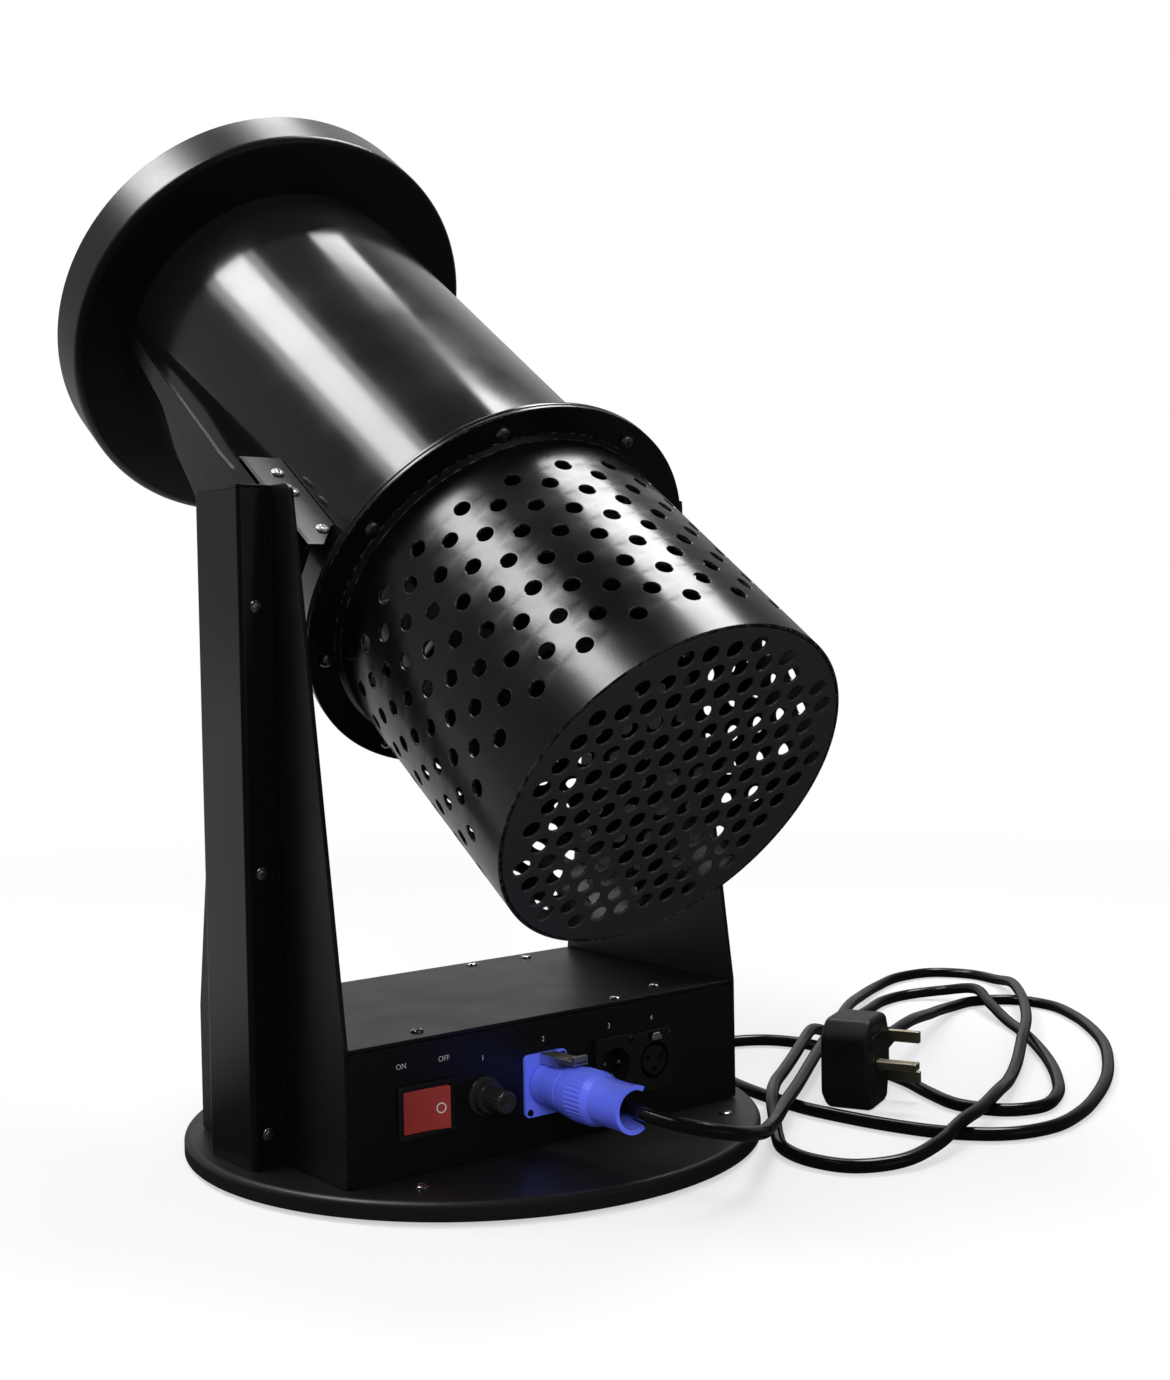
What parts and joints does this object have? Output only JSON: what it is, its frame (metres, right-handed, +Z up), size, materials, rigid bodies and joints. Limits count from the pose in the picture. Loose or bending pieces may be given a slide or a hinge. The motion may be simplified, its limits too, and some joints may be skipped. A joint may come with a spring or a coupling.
{
  "type": "confetti blower",
  "caption": "Stage confetti blower: a fan in a perforated intake cage blows through a round barrel that tilts in a yoke above a control box on a round base, with its mains lead.",
  "frame": {"origin": "on the floor, under the middle of the machine's bounding box without its mains lead", "axes": "+Z up; the control panel faces -Y, the barrel's muzzle points towards +Y and up, and the tilt axis lies along X"},
  "size_m": [0.6622, 0.505, 0.5629],
  "materials": {
    "black": "satin black powder coat",
    "sheen": "smooth black powder coat, low gloss",
    "plastic": "matt black moulded plastic",
    "rubber": "black rubber",
    "blue": "blue moulded plastic",
    "red": "red moulded plastic",
    "nickel": "nickel plate",
    "steel": "machined steel",
    "brass": "brass",
    "green": "circuit board laminate"
  },
  "bodies": {
    "base": {"control_box": "black", "top_cover": "black", "arm_left": "black", "arm_right": "black", "base_plate": "sheen", "arm_cover_left": "sheen", "arm_cover_right": "sheen", "switch_bezel": "plastic", "fuse_holder": "plastic", "dmx_in": "plastic", "dmx_out": "plastic", "mains_plug_body": "plastic", "foot_1": "rubber", "foot_2": "rubber", "foot_3": "rubber", "foot_4": "rubber", "drive_belt": "rubber", "power_cord": "rubber", "mains_plug_relief": "rubber", "power_inlet": "blue", "power_plug_body": "blue", "power_plug_collar": "blue", "power_supply": "steel", "tilt_motor": "steel", "pivot_bearing_left": "steel", "pivot_bearing_right": "steel", "mains_pin_earth": "brass", "mains_pin_line": "brass", "mains_pin_neutral": "brass", "control_board": "green"},
    "head": {"barrel": "sheen", "barrel_flange": "sheen", "brim_pan": "sheen", "intake_cage": "sheen", "intake_grille": "sheen", "flange_bolt_1": "nickel", "flange_bolt_2": "nickel", "flange_bolt_3": "nickel", "flange_bolt_4": "nickel", "flange_bolt_5": "nickel", "flange_bolt_6": "nickel", "flange_bolt_7": "nickel", "flange_bolt_8": "nickel", "side_bracket_left": "sheen", "side_bracket_right": "sheen", "pivot_shaft_left": "steel", "pivot_shaft_right": "steel", "tilt_pulley": "steel", "fan_motor": "steel", "motor_mount": "sheen"},
    "impeller": {"impeller": "plastic"},
    "motor_pulley": {"motor_pulley": "steel"},
    "rocker": {"switch_rocker": "red"},
    "fuse_cap": {"fuse_cap": "plastic"},
    "dmx_latch": {"dmx_out_latch": "nickel"},
    "plug_latch": {"power_plug_latch": "nickel"}
  },
  "joints": [
    {"name": "tilt", "type": "hinge", "parent": "base", "child": "head", "pos_m": [0, -0.0304, 0.3115], "axis": [1, 0, 0], "range_deg": [-35.5, 144.5]},
    {"name": "motor_spin", "type": "hinge", "parent": "base", "child": "motor_pulley", "pos_m": [0, -0.0304, 0.048], "axis": [1, 0, 0], "range_deg": [-71, 289]},
    {"name": "fan_spin", "type": "hinge", "parent": "head", "child": "impeller", "pos_m": [0, -0.05075, 0.29698], "axis": [0, 0.8141, 0.5807], "continuous": true},
    {"name": "switch_rock", "type": "hinge", "parent": "base", "child": "rocker", "pos_m": [-0.078, -0.10393, 0.0415], "axis": [0, 0, 1], "range_deg": [0, 14]},
    {"name": "fuse_cap_turn", "type": "hinge", "parent": "base", "child": "fuse_cap", "pos_m": [-0.0445, -0.1204, 0.042], "axis": [0, -1, 0], "range_deg": [0, 90]},
    {"name": "dmx_latch_press", "type": "slide", "parent": "base", "child": "dmx_latch", "axis": [0, 1, 0], "range_m": [0, 0.0015], "stiffness_N_per_m": 400},
    {"name": "plug_latch_pull", "type": "slide", "parent": "base", "child": "plug_latch", "axis": [0, -1, 0], "range_m": [0, 0.003], "stiffness_N_per_m": 400}
  ],
  "couplings": [
    {"joint": "motor_spin", "follows": "tilt", "ratio": 2}
  ]
}
